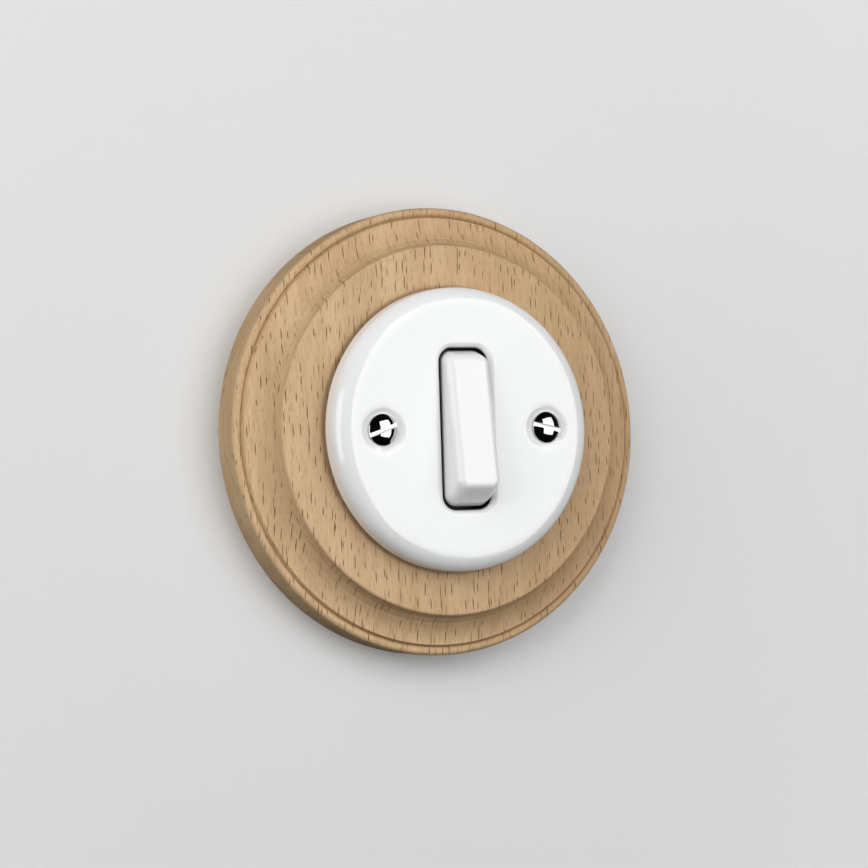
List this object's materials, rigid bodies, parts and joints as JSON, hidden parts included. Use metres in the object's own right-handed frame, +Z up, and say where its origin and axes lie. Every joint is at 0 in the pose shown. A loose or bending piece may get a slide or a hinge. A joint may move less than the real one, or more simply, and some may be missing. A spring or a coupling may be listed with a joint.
{
  "type": "rocker light switch",
  "caption": "Round flush-mounted rocker light switch with a glazed porcelain cover on a turned beech rosette, and a changeover insert behind.",
  "frame": {"origin": "centre of the rosette's back face, on the wall plane", "axes": "+Y into the wall, +Z up, +X to the right as seen by the user; the key faces -Y"},
  "size_m": [0.13, 0.0445, 0.13],
  "materials": {
    "beech": "satin",
    "porcelain": "gloss",
    "key_plastic": "gloss",
    "chrome": "polished",
    "zinc_steel": "satin",
    "brass": "satin",
    "insert_plastic": "satin",
    "core_plastic": "satin",
    "nylon": "satin",
    "spring_steel": "satin",
    "silver": "satin"
  },
  "bodies": {
    "housing": {"wood_rosette": "beech", "porcelain_cover": "porcelain", "slot_liner": "core_plastic", "cover_screws": "chrome", "mounting_strap": "zinc_steel", "threaded_pillars": "brass", "bearing_plate": "insert_plastic", "switch_base": "insert_plastic", "base_screws": "zinc_steel", "contact_pin": "spring_steel", "common_terminal": "brass", "upper_terminal": "brass", "lower_terminal": "brass", "fixed_contact_tips": "silver", "terminal_screws": "zinc_steel", "clamp_plates": "zinc_steel"},
    "rocker": {"rocker_key": "key_plastic", "toggle_core": "core_plastic", "plunger_spring": "spring_steel"},
    "plunger": {"plunger": "nylon"},
    "contact": {"moving_contact": "brass", "moving_contact_tips": "silver"}
  },
  "joints": [
    {"name": "rocker_tilt", "type": "hinge", "parent": "housing", "child": "rocker", "pos_m": [0, -0.0195, 0], "axis": [1, 0, 0], "range_deg": [0, 16]},
    {"name": "contact_tilt", "type": "hinge", "parent": "housing", "child": "contact", "pos_m": [0, -0.00479, 0], "axis": [1, 0, 0], "range_deg": [-10, 0]},
    {"name": "plunger_slide", "type": "slide", "parent": "rocker", "child": "plunger", "axis": [0, -0.9903, 0.1392], "range_m": [0, 0.0015], "stiffness_N_per_m": 300, "springref_m": -0.004, "deforming": ["plunger_spring"]}
  ],
  "couplings": [
    {"joint": "contact_tilt", "follows": "rocker_tilt", "ratio": -0.625}
  ]
}
